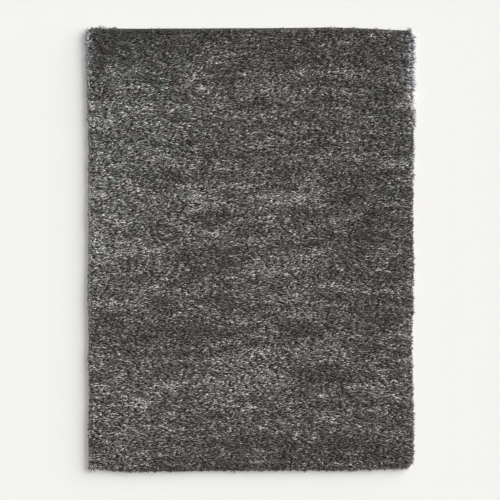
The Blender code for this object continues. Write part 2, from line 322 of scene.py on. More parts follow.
def new_object(name, data):
    """An object in the scene, at the origin."""
    made = bpy.data.objects.new(name, data)
    bpy.context.scene.collection.objects.link(made)
    return made


def new_piece(name, points, faces, material=None):
    """An object from points and faces, with its place in its mesh."""
    data = bpy.data.meshes.new(name)
    data.from_pydata(points, [], faces)
    data.update()
    if material:
        data.materials.append(material)
    return new_object(name, data)


def drop(*pieces):
    """Removes helper objects that aren't part of the rug."""
    for piece in pieces:
        bpy.data.objects.remove(piece)


# ---- Materials ----------------------------------------------------------------------------------

def new_material(name):
    """A new material, with its tree of nodes and its shader."""
    material = bpy.data.materials.new(name)
    material.use_nodes = True
    tree = material.node_tree
    return material, tree, tree.nodes["Principled BSDF"]


def ramp(tree, factor, stops):
    """A colour ramp from (place, hex colour) stops."""
    made = add(tree, "ShaderNodeValToRGB", {0: factor})
    elements = made.color_ramp.elements
    while len(elements) < len(stops):
        elements.new(0.5)
    for element, (place, colour) in zip(elements, stops):
        element.position = place
        element.color = linear(colour)
    return made.outputs["Color"]


# Each yarn's colour is read from its own strip of the map: across the map lie the kinds of yarn,
# family by family from dark to light, and up the map each yarn runs from its root to its end.
FAMILY_SHADES = (
    ((0.0, "#403934"), (0.4, "#716b66"), (0.75, "#aaa59f"), (1.0, "#efebe6")),
    ((0.0, "#413935"), (0.4, "#726b66"), (0.75, "#aca59f"), (1.0, "#f0ebe6")),
    ((0.0, "#373a33"), (0.4, "#6a6d65"), (0.75, "#a5a8a1"), (1.0, "#eaece7")),
    ((0.0, "#39383a"), (0.4, "#6b6a6c"), (0.75, "#a6a5a8"), (1.0, "#ebeaed")),
)
# the plies differ in tone, and the soft change between them is partly painted shade for the twist's
# grooves
PLY_TURNS, PLY_CONTRAST = 5.0, 0.16          # of the two plies, along a yarn
MARL_SPOTS, MARL_CONTRAST = 5.0, 0.22        # of the uneven dye, along a yarn
KINDS_APART = 7.3                            # between the kinds' places in the dye's pattern
NOISE_RANGE = (0.3, 0.7)                     # that most of a noise pattern's values lie in
# painted shade at each yarn's root, where it stands among the others
ROOT_SHADE, ROOT_SHARE = 0.5, 0.3            # how dark the root is, and how far up it is shaded


def yarn_material():
    """Heat-set marled shag yarn: two matt plies of one family, one darker, twisted round each other.

    The soft change between the plies is partly painted shade for the twist's grooves, and each yarn
    is darker towards its root as painted shade, where it stands among the others.
    """
    material, tree, shader = new_material("marled_shag_yarn")
    uv = add(tree, "ShaderNodeUVMap", uv_map=UV_NAME).outputs["UV"]
    split = add(tree, "ShaderNodeSeparateXYZ", {0: uv})
    across, along = split.outputs["X"], split.outputs["Y"]
    strip = calculate(tree, "MULTIPLY", across, float(KINDS))
    kind = calculate(tree, "FLOOR", strip)
    turn = calculate(tree, "FRACT", strip)
    family = calculate(tree, "FLOOR", calculate(tree, "DIVIDE", kind, float(TONES)))
    tone = calculate(tree, "DIVIDE", calculate(tree, "MODULO", kind, float(TONES)), TONES - 1.0)
    twist = calculate(tree, "PINGPONG", calculate(tree, "MULTIPLY_ADD", along, PLY_TURNS, turn), 1.0)
    # the darker ply, partly painted shade for the twist's grooves
    ply_tone_and_shade = calculate(tree, "MULTIPLY_ADD", twist, -PLY_CONTRAST, PLY_CONTRAST / 2)
    tone = calculate(tree, "ADD", tone, ply_tone_and_shade)
    marl_place = combine(tree, calculate(tree, "MULTIPLY", kind, KINDS_APART),
                         calculate(tree, "MULTIPLY", along, MARL_SPOTS))
    marl = add(tree, "ShaderNodeTexNoise", {"Vector": marl_place, "Scale": 1.0, "Detail": 1.0},
               noise_dimensions="2D").outputs[0]
    marl = rescaled(tree, marl, NOISE_RANGE, (-MARL_CONTRAST, MARL_CONTRAST))
    tone = calculate(tree, "ADD", tone, marl)
    colour = ramp(tree, tone, FAMILY_SHADES[0])
    for number, shades in enumerate(FAMILY_SHADES[1:], 1):
        chosen = calculate(tree, "GREATER_THAN", family, number - 0.5)
        colour = add(tree, "ShaderNodeMix", {0: chosen, 6: colour, 7: ramp(tree, tone, shades)},
                     data_type="RGBA").outputs[2]
    # painted shade: each yarn darker towards its root
    painted_root_shade = rescaled(tree, along, (0.0, ROOT_SHARE), (ROOT_SHADE, 1.0))
    shaded = add(tree, "ShaderNodeMix", {0: 1.0, 6: colour, 7: painted_root_shade}, data_type="RGBA",
                 blend_type="MULTIPLY")
    feed(tree, shader, {"Base Color": shaded.outputs[2], "Roughness": 0.85, "Sheen Weight": 0.12,
                        "Specular IOR Level": 0.25, "Sheen Roughness": 0.5})
    return material


def roots_material():
    """The crowded lower ends of the yarns: matt wool that is seen only between the others.

    Its colour is a dark yarn's, used as painted shade for the gaps between the yarns.
    """
    material, tree, shader = new_material("dense_yarn_roots")
    place = add(tree, "ShaderNodeTexCoord").outputs["Object"]
    grain = add(tree, "ShaderNodeTexNoise", {"Vector": place, "Scale": 1 / (6.25 * MM), "Detail": 2.0})
    # dark, as painted shade in the gaps between the yarns
    colour = ramp(tree, grain.outputs[0], ((0.3, "#35302d"), (0.7, "#58524e")))
    feed(tree, shader, {"Base Color": colour, "Roughness": 0.95, "Specular IOR Level": 0.1})
    return material


def ground_material():
    """Woven ground cloth with a latex coat: pale brown threads that cross at right angles."""
    material, tree, shader = new_material("woven_ground_cloth")
    place = add(tree, "ShaderNodeTexCoord").outputs["Object"]
    threads = []
    for direction in ("X", "Y"):
        threads.append(add(tree, "ShaderNodeTexWave",
                           {"Vector": place, "Scale": 2 * math.pi / (20 * GROUND_THREADS)},
                           wave_type="BANDS", bands_direction=direction).outputs["Fac"])
    weave = calculate(tree, "MULTIPLY", *threads)
    colour = ramp(tree, weave, ((0.0, "#5d564c"), (1.0, "#a2978a")))
    relief = add(tree, "ShaderNodeBump", {"Height": weave, "Distance": 0.5 * MM, "Strength": 0.6})
    feed(tree, shader, {"Base Color": colour, "Normal": relief.outputs[0], "Roughness": 0.9})
    return material


def binding_material():
    """Overcast sewing yarn of spun polyester: close, dark and a little cooler than the pile."""
    material, tree, shader = new_material("overcast_binding_yarn")
    place = add(tree, "ShaderNodeTexCoord").outputs["Object"]
    shade = add(tree, "ShaderNodeTexNoise", {"Vector": place, "Scale": 1 / (6 * MM), "Detail": 2.0})
    colour = ramp(tree, shade.outputs[0], ((0.3, "#2f3233"), (0.7, "#46494b")))
    feed(tree, shader, {"Base Color": colour, "Roughness": 0.75, "Sheen Weight": 0.1})
    return material


def floor_material():
    """A plain pale studio floor."""
    material, tree, shader = new_material("pale_floor")
    feed(tree, shader, {"Base Color": linear("#f4f3ef"), "Roughness": 1.0, "Specular IOR Level": 0.0})
    return material


# ---- The edge -----------------------------------------------------------------------------------

def slab_surface():
    """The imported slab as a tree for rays, and its edge as an array of places that goes round it."""
    data = frame["nodes"]["shag_pile"].data
    points = [vertex.co.copy() for vertex in data.vertices]
    faces = [tuple(face.vertices) for face in data.polygons]
    edge = {(round(p.x, 6), round(p.y, 6)) for p in points if abs(p.z - EDGE_HEIGHT) < SAME_PLACE}
    edge = sorted(edge, key=lambda place: math.atan2(place[1], place[0]))
    return BVHTree.FromPolygons(points, faces), np.array(edge)


def moved_in(edge, distance):
    """The edge moved inwards by that distance; it goes round to the left."""
    ahead = np.roll(edge, -1, 0) - np.roll(edge, 1, 0)
    ahead /= np.linalg.norm(ahead, axis=1)[:, None]
    return edge + np.stack([-ahead[:, 1], ahead[:, 0]], 1) * distance


def nearest_edge(places, edge):
    """How far each place is from the edge, and the way out to it as unit vectors."""
    start, step = edge, np.roll(edge, -1, 0) - edge
    off = places[:, None, :] - start[None]
    share = np.clip((off * step).sum(2) / (step * step).sum(1), 0, 1)
    out = start[None] + step[None] * share[..., None] - places[:, None, :]
    distance = np.linalg.norm(out, axis=2)
    nearest = distance.argmin(1)
    rows = np.arange(len(places))
    room = distance[rows, nearest]
    return room, out[rows, nearest] / np.maximum(room, 1e-6)[:, None]


def overhang(place, way):
    """How far a yarn may hang past the edge that lies that way from the place."""
    if min(abs(way)) > CORNER_WAY:
        return CORNER_OVERHANG[tuple(np.sign(way).astype(int))]
    if way[1] > CORNER_WAY:
        return next(s.overhang for s in HEAD_STRETCHES if place[0] < s.upto)
    if way[0] > CORNER_WAY:
        return next(s.overhang for s in RIGHT_STRETCHES if place[1] < s.upto)
    return FOOT_OVERHANG if way[1] < -CORNER_WAY else LEFT_OVERHANG


def set_seed_attributes(piece, room, way, lighter):
    """Gives each point of a seedbed the room for its yarns, the way out, and how light they are."""
    for name, values in (("room", room), ("lighter", lighter)):
        layer = piece.data.attributes.new(name, "FLOAT", "POINT")
        layer.data.foreach_set("value", np.asarray(values, np.float32))
    layer = piece.data.attributes.new("way_out", "FLOAT_VECTOR", "POINT")
    flat = np.column_stack([way, np.zeros(len(way))]).astype(np.float32)
    layer.data.foreach_set("vector", flat.ravel())


def lock_length(slab, place, room, way):
    """How much further than the edge the slab reaches there, in one of its locks."""
    hit = slab.ray_cast(Vector((*place, LOCK_HEIGHT)), Vector((*way, 0)))[0]
    return max(0.0, (hit.xy - Vector(place)).length - room) if hit else 0.0


def seed_from_edge(piece, edge, slab=None):
    """Sets a seedbed's attributes from how far each point lies from the rug's edge.

    With the slab given, its yarns may hang past the edge and fill the slab's locks."""
    places = np.array([vertex.co[:2] for vertex in piece.data.vertices])
    room, way = nearest_edge(places, edge)
    over = np.array([overhang(*pair) for pair in zip(places, way)])
    if slab:
        locks = [lock_length(slab, *row) for row in zip(places, room, way)]
        over += LOCK_SHARE * np.array(locks)
    else:
        over = np.minimum(over, 0)
    set_seed_attributes(piece, room + over, way, np.zeros(len(places)))


# ---- The ground and the roots -------------------------------------------------------------------

def resampled(line, count):
    """count + 1 places spread evenly along a line of places."""
    gone = np.concatenate([[0], np.cumsum(np.linalg.norm(np.diff(line, axis=0), axis=1))])
    at = np.linspace(0, gone[-1], count + 1)
    return np.stack([np.interp(at, gone, line[:, axis]) for axis in (0, 1)], 1)


def spread_inside(outline, across, along):
    """A grid of places that fills an outline of four sides, from its foot to its head."""
    corners = [int((outline @ np.array([x, y * 1.01])).argmax()) for x, y in CORNERS]
    first = corners[0]
    ring = np.roll(outline, -first, 0)
    at = [(corner - first) % len(outline) for corner in corners] + [len(outline)]
    ring = np.vstack([ring, ring[:1]])
    foot, right, head, left = (ring[at[k]:at[k + 1] + 1] for k in range(4))
    foot, right = resampled(foot, across), resampled(right, along)
    head, left = resampled(head[::-1], across), resampled(left[::-1], along)
    u = np.linspace(0, 1, across + 1)[None, :, None]
    v = np.linspace(0, 1, along + 1)[:, None, None]
    sides = foot[None] * (1 - v) + head[None] * v + left[:, None] * (1 - u) + right[:, None] * u
    flat = (foot[0] * (1 - u) + foot[-1] * u) * (1 - v) + (head[0] * (1 - u) + head[-1] * u) * v
    return sides - flat


def build_ground(edge, material):
    """The ground cloth: a flat closed sheet."""
    outline = moved_in(edge, GROUND_INSET)
    count = len(outline)
    points = [(*place, height) for height in (0.0, GROUND_THICKNESS) for place in outline]
    faces = [(k, (k + 1) % count, count + (k + 1) % count, count + k) for k in range(count)]
    faces += [tuple(range(count, 2 * count)), tuple(reversed(range(count)))]
    return new_piece("ground_cloth", points, faces, material)


def root_height(slab, place):
    """How high the dense roots reach at a place: as lumpy as the slab, with the yarns' room above."""
    hit = slab.ray_cast(Vector((*place, 1.0)), Vector((0, 0, -1)))[0]
    return hit.z - PILE_OVER_ROOTS


def build_roots(edge, slab, material):
    """The dense lower part of the pile, closed below by a flat face on the ground cloth."""
    across, along = ROOTS_CELLS
    grid = spread_inside(moved_in(edge, ROOTS_INSET + ROOTS_SHOULDER), across, along)
    points = [(*place, root_height(slab, place)) for place in grid.reshape(-1, 2)]
    wide = across + 1
    faces = [(r * wide + c, r * wide + c + 1, (r + 1) * wide + c + 1, (r + 1) * wide + c)
             for r in range(along) for c in range(across)]
    upper = list(range(across))
    upper += [r * wide + across for r in range(along)]
    upper += [along * wide + c for c in range(across, 0, -1)]
    upper += [r * wide for r in range(along, 0, -1)]
    outline = moved_in(np.array([points[k][:2] for k in upper]), -ROOTS_SHOULDER)
    tops = [points[k][2] for k in upper]
    low = GROUND_THICKNESS + CLEARANCE
    for share in (ROOTS_WALL_SHARE, 0.0):
        lower = list(range(len(points), len(points) + len(outline)))
        points += [(*place, low + (top - low) * share) for place, top in zip(outline, tops)]
        for k in range(len(upper)):
            after = (k + 1) % len(upper)
            faces.append((upper[after], upper[k], lower[k], lower[after]))
        upper = lower
    faces.append(tuple(reversed(upper)))
    piece = new_piece("pile_roots", points, faces, material)
    piece.data.shade_smooth()
    return piece


def build_rim_bed(edge):
    """A strip round the top of the roots' wall, in which the rim's yarns stand. It isn't shown."""
    ring = np.vstack([edge, edge[:1]])
    count = round(np.linalg.norm(np.diff(ring, axis=0), axis=1).sum() / RIM_CELL)
    ring = resampled(ring, count)[:-1]
    points = [(*place, row.height) for row in RIM_ROWS for place in moved_in(ring, row.inset)]
    faces = [(r * count + (k + 1) % count, r * count + k, (r + 1) * count + k,
              (r + 1) * count + (k + 1) % count) for r in range(len(RIM_ROWS) - 1)
             for k in range(count)]
    return new_piece("rim_bed", points, faces)


def build_tuft_bed(slab):
    """A small square for each tuft, with the tuft's own reach and way out. It isn't shown."""
    points, faces, room, way, lighter = [], [], [], [], []
    for tuft in TUFTS:
        height = root_height(slab, (tuft.across, tuft.along))
        half = tuft.patch * MM / 2
        faces.append(tuple(range(len(points), len(points) + 4)))
        for x, y in CORNERS:
            points.append((tuft.across + x * half, tuft.along + y * half, height))
            room.append(tuft.reach * MM)
            way.append((math.cos(math.radians(tuft.way)), math.sin(math.radians(tuft.way))))
            lighter.append(tuft.lighter)
    bed = new_piece("tuft_bed", points, faces)
    set_seed_attributes(bed, room, np.array(way), lighter)
    return bed


# ---- The yarns ----------------------------------------------------------------------------------

# A lying yarn's shape in millimetres: where its knee and its bend are (forward, aside, up) with its
# thickness there, and where its end is. The shorter ends of cut yarn have a bend alone.
YarnShape = namedtuple("YarnShape", "rings end")
YARN_SHAPES = (
    YarnShape(((5, 1, 8, 4.5), (15, 2, 10, 4.2)), (24, 3, 4)),
    YarnShape(((4, -1, 9, 4.8), (13, -2, 11, 4.1)), (22, -4, 6)),
    YarnShape(((5, 0, 7, 4.2), (16, 1, 9, 3.9)), (26, 1, 4)),
    YarnShape(((4, 1, 9, 4.7), (12, 3, 11, 4.2)), (20, 5, 8)),
    YarnShape(((5, -1, 8, 4.0), (14, -3, 9, 3.7)), (23, -6, 5)),
    YarnShape(((3, 0, 10, 4.9), (9, 1, 13, 4.4)), (16, 3, 11)),
    YarnShape(((5, 1, 6, 4.0), (17, 2, 8, 3.6)), (27, 4, 5)),
    YarnShape(((9, 0, 11, 4.4),), (19, 1, 6)),
    YarnShape(((10, -1, 10, 4.0),), (21, -1, 5)),
    YarnShape(((7, 1, 12, 4.2),), (15, 2, 10)),
)
ROOT_DEPTH = 3 * MM


def build_yarn_shape(number, shape, material):
    """One bent yarn along +X: three sides, a point at each end, and its strip of the map."""
    way_points = [Vector((0, 0, -ROOT_DEPTH)), *[Vector(ring[:3]) * MM for ring in shape.rings],
                  Vector(shape.end) * MM]
    lengths = (0.0, 0.3, 0.7, 1.0) if len(shape.rings) == 2 else (0.0, 0.5, 1.0)
    points = [way_points[0]]
    for k, ring in enumerate(shape.rings, 1):
        way = (way_points[k + 1] - way_points[k - 1]).normalized()
        aside = Vector((0, 0, 1)).cross(way).normalized()
        above = way.cross(aside)
        for turn in range(3):
            angle = math.radians(90 + 120 * turn)
            off = aside * math.cos(angle) + above * math.sin(angle)
            points.append(way_points[k] + off * ring[3] * MM / 2)
    points.append(way_points[-1])
    last = len(points) - 1
    faces, places = [], []
    for turn in range(3):
        after = (turn + 1) % 3
        left, right = turn / 3, (turn + 1) / 3
        middle = (left + right) / 2
        faces.append((0, 1 + after, 1 + turn))
        places.append(((middle, lengths[0]), (right, lengths[1]), (left, lengths[1])))
        for k in range(1, len(shape.rings)):
            low = 3 * k - 2
            faces.append((low + turn, low + after, low + 3 + after, low + 3 + turn))
            places.append(((left, lengths[k]), (right, lengths[k]), (right, lengths[k + 1]),
                           (left, lengths[k + 1])))
        faces.append((last - 3 + turn, last - 3 + after, last))
        places.append(((left, lengths[-2]), (right, lengths[-2]), (middle, lengths[-1])))
    yarn = new_piece(f"yarn_shape_{number}", points, faces, material)
    layer = yarn.data.uv_layers.new(name=UV_NAME)
    used = 1 - 2 * STRIP_MARGIN
    flat = [value for face in places for u, v in face
            for value in ((STRIP_MARGIN + used * u) / KINDS, v)]
    layer.data.foreach_set("uv", flat)
    yarn.data.shade_smooth()
    return yarn


TREE_INPUTS = (
    ("Seedbed", "NodeSocketGeometry", None),
    ("Yarns per square metre", "NodeSocketFloat", YARNS_PER_M2),
    ("Least apart", "NodeSocketFloat", YARNS_APART),
    ("Band from", "NodeSocketFloat", -2.0),
    ("Band to", "NodeSocketFloat", 2.0),
    ("Seed", "NodeSocketInt", 0),
    ("Smallest", "NodeSocketFloat", 0.75),
    ("Largest", "NodeSocketFloat", 1.15),
    ("Stretch", "NodeSocketFloat", 1.0),
    ("Stray", "NodeSocketFloat", 0.4),
    ("Outwards", "NodeSocketFloat", 0.0),
    ("Droop", "NodeSocketFloat", 0.0),
    ("Material", "NodeSocketMaterial", None),
)


def chance(tree, low, high, seed):
    """A random number for each yarn."""
    return add(tree, "FunctionNodeRandomValue", {2: low, 3: high, "Seed": seed},
               data_type="FLOAT").outputs[1]


def own(tree, name):
    """A number that each yarn carries: from its seedbed, or its kind."""
    return add(tree, "GeometryNodeInputNamedAttribute", {"Name": name}, data_type="FLOAT").outputs[0]


def noise(tree, place, size, low, high, detail=1.5):
    """Soft noise with spots about that size, mostly between low and high."""
    made = add(tree, "ShaderNodeTexNoise", {"Vector": place, "Scale": 1 / size, "Detail": detail})
    return rescaled(tree, made.outputs[0], NOISE_RANGE, (low, high), clamp=False)


def in_area(tree, split, area):
    """1 in the middle of an area, falling softly to 0 round it."""
    away = []
    for axis, middle, half in (("X", area.across, area.wide), ("Y", area.along, area.long)):
        off = calculate(tree, "MULTIPLY_ADD", split.outputs[axis], 1 / half, -middle / half)
        away.append(calculate(tree, "MULTIPLY", off, off))
    return calculate(tree, "EXPONENT", calculate(tree, "MULTIPLY",
                                                 calculate(tree, "ADD", *away), -1.0))


def nap_direction(tree, place, split, given):
    """Which way each yarn lies: across the rug, rising to the right towards the head, with swirls."""
    rise = rescaled(tree, split.outputs["Y"], (RISE_FROM, RISE_TO), (RISE_AT_FOOT, RISE_AT_HEAD))
    both = calculate(tree, "ADD", rise, noise(tree, place, SWIRL_SIZE, -SWIRL, SWIRL))
    stray = calculate(tree, "ADD", chance(tree, -0.5, 0.5, 11), chance(tree, -0.5, 0.5, 12))
    stray = calculate(tree, "MULTIPLY", stray, given["Stray"])
    back = add(tree, "FunctionNodeRandomValue", {6: 0.5, "Seed": 13}, data_type="BOOLEAN")
    half_turn = calculate(tree, "MULTIPLY", back.outputs[3], math.pi)
    lying = calculate(tree, "ADD", both, half_turn)
    way = add(tree, "GeometryNodeInputNamedAttribute", {"Name": "way_out"},
              data_type="FLOAT_VECTOR").outputs[0]
    parts = add(tree, "ShaderNodeSeparateXYZ", {0: way})
    outwards = calculate(tree, "ARCTAN2", parts.outputs["Y"], parts.outputs["X"])
    chosen = add(tree, "ShaderNodeMix", {0: given["Outwards"], 2: lying, 3: outwards},
                 data_type="FLOAT").outputs[0]
    return calculate(tree, "ADD", chosen, stray), way


def yarn_size(tree, place, yaw, way, given):
    """Each yarn's scale: as long as chance gives, and no longer than its room before the edge.

    Neighbours end about level with each other, so that the rim has locks as wide as a finger."""
    size = add(tree, "FunctionNodeRandomValue", {2: given["Smallest"], 3: given["Largest"],
                                                 "Seed": 21}, data_type="FLOAT").outputs[1]
    heading = combine(tree, calculate(tree, "COSINE", yaw), calculate(tree, "SINE", yaw))
    outward = add(tree, "ShaderNodeVectorMath", {0: heading, 1: way},
                  operation="DOT_PRODUCT").outputs["Value"]
    outward = calculate(tree, "MAXIMUM", outward, LEAST_OUTWARD)
    most = calculate(tree, "DIVIDE", own(tree, "room"),
                     calculate(tree, "MULTIPLY", outward, YARN_REACH))
    uneven = calculate(tree, "POWER", chance(tree, 0.0, 1.0, 22), 2.0)
    uneven = calculate(tree, "MULTIPLY_ADD", uneven, UNEVEN, SHORTEST)
    locks = noise(tree, place, LOCK_WIDTH, -LOCK_UNEVEN, LOCK_UNEVEN, 1.0)
    most = calculate(tree, "MULTIPLY", most, calculate(tree, "ADD", uneven, locks))
    length = calculate(tree, "MINIMUM", calculate(tree, "MULTIPLY", size, given["Stretch"]), most)
    return combine(tree, length, size, size)


def stretched(tree, place, share):
    """The place drawn together across the rug, so that a pattern there grows long across it."""
    return calculate_vector(tree, "MULTIPLY", place, (share, 1.0, 1.0))


def patches(tree, place, kind):
    """What soft patches of one kind add to each yarn's shade."""
    return noise(tree, stretched(tree, place, kind.drawn), kind.size, kind.low, kind.high, 1.0)


def yarn_tone(tree, place, split):
    """Each yarn's shade: by chance, by its tuft, by patches that follow the rows, and by the areas.

    The areas add painted light and shade.
    """
    tone = calculate(tree, "POWER", chance(tree, 0.0, 1.0, 31), CHANCE_POWER)
    tone = calculate(tree, "MULTIPLY_ADD", tone, CHANCE_RANGE, DARKEST)
    tuft = add(tree, "ShaderNodeTexVoronoi", {"Vector": stretched(tree, place, TUFT_DRAWN),
                                              "Scale": 1 / TUFT_SIZE})
    tuft = add(tree, "ShaderNodeSeparateXYZ", {0: tuft.outputs["Color"]}).outputs[0]
    tone = calculate(tree, "MULTIPLY_ADD", tuft, TUFT_RANGE, tone)
    pale = calculate(tree, "MAXIMUM", patches(tree, place, PALE_GROUPS), 0.0)
    for more in (patches(tree, place, ROW_PATCHES), patches(tree, place, BROAD_PATCHES), pale,
                 own(tree, "lighter")):
        tone = calculate(tree, "ADD", tone, more)
    # painted light and shade, area by area
    for area in PAINTED_LIGHT_AREAS:
        tone = calculate(tree, "MULTIPLY_ADD", in_area(tree, split, area), area.lighter, tone)
    tone = calculate(tree, "FLOOR", calculate(tree, "MULTIPLY", tone, float(TONES)))
    return calculate(tree, "MINIMUM", calculate(tree, "MAXIMUM", tone, 0.0), TONES - 1.0)


def chosen_in(tree, place, split, areas, seed):
    """1 for the yarns that chance and the areas give a family of colour, and 0 for the others."""
    share = 0.0
    for area in areas:
        share = calculate(tree, "MULTIPLY_ADD", in_area(tree, split, area), area.share, share)
    share = calculate(tree, "MULTIPLY", share, noise(tree, place, HUE_PATCH, HUE_LEAST, HUE_MOST, 1.0))
    return calculate(tree, "LESS_THAN", chance(tree, 0.0, 1.0, seed), share)


def yarn_kind(tree, place, split):
    """Each yarn's kind: its family of colour and its shade in it."""
    family = calculate(tree, "LESS_THAN", chance(tree, 0.0, 1.0, 32), WARM_SHARE)
    for number, areas in ((2.0, GREENISH_AREAS), (3.0, BLUISH_AREAS)):
        chosen = chosen_in(tree, place, split, areas, 33 + int(number))
        family = add(tree, "ShaderNodeMix", {0: chosen, 2: family, 3: number},
                     data_type="FLOAT").outputs[0]
    return calculate(tree, "MULTIPLY_ADD", family, float(TONES), yarn_tone(tree, place, split))


def new_tree(name, inputs):
    """An empty Geometry Nodes tree with named inputs, and their sockets inside it."""
    tree = bpy.data.node_groups.new(name, "GeometryNodeTree")
    for socket_name, kind, value in inputs:
        socket = tree.interface.new_socket(socket_name, in_out="INPUT", socket_type=kind)
        if value is not None:
            socket.default_value = value
    tree.interface.new_socket("Geometry", in_out="OUTPUT", socket_type="NodeSocketGeometry")
    return tree, add(tree, "NodeGroupInput").outputs


def finish_tree(tree, geometry, material):
    """Ends a tree with its material."""
    worn = add(tree, "GeometryNodeSetMaterial", {"Geometry": geometry, "Material": material})
    add(tree, "NodeGroupOutput", {0: worn.outputs[0]})
    return tree


def yarn_tree(shapes):
    """Grows yarns on a seedbed, within one band along the rug."""
    tree, given = new_tree("grow_yarns", TREE_INPUTS)
    place = add(tree, "GeometryNodeInputPosition").outputs[0]
    split = add(tree, "ShaderNodeSeparateXYZ", {0: place})

    after = calculate(tree, "GREATER_THAN", split.outputs["Y"], given["Band from"])
    before = calculate(tree, "LESS_THAN", split.outputs["Y"], given["Band to"])
    high = calculate(tree, "GREATER_THAN", split.outputs["Z"], LOWEST_ROOT)
    inside = calculate(tree, "MULTIPLY", calculate(tree, "MULTIPLY", after, before), high)
    seeds = add(tree, "GeometryNodeDistributePointsOnFaces",
                {"Mesh": given["Seedbed"], "Selection": inside,
                 "Distance Min": given["Least apart"], "Density Max": given["Yarns per square metre"],
                 "Seed": given["Seed"]}, distribute_method="POISSON")

    yaw, way = nap_direction(tree, place, split, given)
    pitch = calculate(tree, "ADD", chance(tree, -PITCH_UP, PITCH_DOWN, 14), given["Droop"])
    turned = combine(tree, chance(tree, -ROLL, ROLL, 15), pitch, yaw)
    choice = add(tree, "FunctionNodeRandomValue", {4: 0, 5: len(YARN_SHAPES) - 1, "Seed": 16},
                 data_type="INT")
    kinds = add(tree, "GeometryNodeCollectionInfo", {0: shapes, "Separate Children": True,
                                                     "Reset Children": False})
    yarns = add(tree, "GeometryNodeInstanceOnPoints",
                {"Points": seeds.outputs["Points"], "Instance": kinds.outputs[0],
                 "Pick Instance": True, "Instance Index": choice.outputs[2],
                 "Rotation": turned, "Scale": yarn_size(tree, place, yaw, way, given)})
    kept = add(tree, "GeometryNodeStoreNamedAttribute",
               {"Geometry": yarns.outputs[0], "Name": "kind",
                "Value": yarn_kind(tree, place, split)}, data_type="FLOAT", domain="INSTANCE")
    plain = add(tree, "GeometryNodeRealizeInstances", {0: kept.outputs[0]})

    # Small waves, nothing below the floor, and then each yarn's strip of the map.
    wave = add(tree, "ShaderNodeTexNoise", {"Vector": place, "Scale": WAVES_PER_M, "Detail": 0.0})
    wave = calculate_vector(tree, "SUBTRACT", wave.outputs["Color"], (0.5, 0.5, 0.5))
    wave = calculate_vector(tree, "MULTIPLY", wave, (WAVE_WIDTH, WAVE_WIDTH, WAVE_WIDTH))
    lowest = (-9.0, -9.0, LOWEST_YARN)       # far outside the rug, and just over the floor
    waved = calculate_vector(tree, "MAXIMUM", calculate_vector(tree, "ADD", place, wave), lowest)
    moved = add(tree, "GeometryNodeSetPosition", {"Geometry": plain.outputs[0], "Position": waved})
    shift = combine(tree, calculate(tree, "DIVIDE", own(tree, "kind"), float(KINDS)))
    old = add(tree, "GeometryNodeInputNamedAttribute", {"Name": UV_NAME}, data_type="FLOAT_VECTOR")
    new = calculate_vector(tree, "ADD", old.outputs[0], shift)
    mapped = add(tree, "GeometryNodeStoreNamedAttribute",
                 {"Geometry": moved.outputs[0], "Name": UV_NAME, "Value": new},
                 data_type="FLOAT2", domain="CORNER")
    return finish_tree(tree, mapped.outputs[0], given["Material"])


def grow(name, seedbed, tree, values):
    """Runs a tree on an object's mesh and keeps the result as a plain mesh."""
    host = new_object(name + "_host", seedbed.data)
    modifier = host.modifiers.new("grow", "NODES")
    modifier.node_group = tree
    names = {item.name: item.identifier for item in tree.interface.items_tree
             if item.in_out == "INPUT"}
    for key, value in values.items():
        modifier[names[key]] = value
    evaluated = host.evaluated_get(bpy.context.evaluated_depsgraph_get())
    data = bpy.data.meshes.new_from_object(evaluated)
    data.name = name
    drop(host)
    return new_object(name, data)


def grow_pile(roots, rim_bed, tuft_bed):
    """All the yarns: the pile's in bands, the rim's, and the tufts that stick out."""
    yarn = yarn_material()
    shapes = bpy.data.collections.new("yarn_shapes")
    for number, shape in enumerate(YARN_SHAPES):
        made = build_yarn_shape(number, shape, yarn)
        bpy.context.scene.collection.objects.unlink(made)
        shapes.objects.link(made)
    tree = yarn_tree(shapes)
    pieces = []
    for number in range(BANDS):
        pieces.append(grow(f"yarns_{number + 1}", roots, tree, {
            "Band from": BANDS_FROM + (BANDS_TO - BANDS_FROM) * number / BANDS,
            "Band to": BANDS_FROM + (BANDS_TO - BANDS_FROM) * (number + 1) / BANDS,
            "Seed": 5 + number, "Material": yarn}))
    pieces.append(grow("rim_yarns", rim_bed, tree, {
        "Yarns per square metre": RIM_YARNS_PER_M2, "Least apart": RIM_YARNS_APART,
        "Smallest": 0.9, "Largest": 1.2, "Stretch": 1.4, "Stray": 1.1, "Outwards": 1.0,
        "Droop": 0.4, "Seed": 50, "Material": yarn}))
    pieces.append(grow("loose_tufts", tuft_bed, tree, {
        "Yarns per square metre": TUFT_YARNS_PER_M2, "Least apart": TUFT_YARNS_APART,
        "Smallest": 0.9, "Largest": 1.2, "Stretch": 2.0, "Stray": 0.5, "Outwards": 1.0,
        "Droop": 0.1, "Seed": 60, "Material": yarn}))
    drop(*shapes.objects)
    return pieces


# ---- The binding --------------------------------------------------------------------------------

# A stitch's way over the binding, in millimetres from the middle of its back: out, and up from
# the floor.
STITCH_WAY = ((-5.1, 1.6), (-4.9, 4.9), (-1.5, 6.3), (2.2, 5.7), (5.4, 3.6), (5.3, 0.9))
STITCH_INPUTS = (
    ("Line", "NodeSocketGeometry", None),
    ("Pitch", "NodeSocketFloat", STITCH_PITCH),
    ("Slant", "NodeSocketFloat", math.radians(STITCH_SLANT)),
    ("Material", "NodeSocketMaterial", None),
)


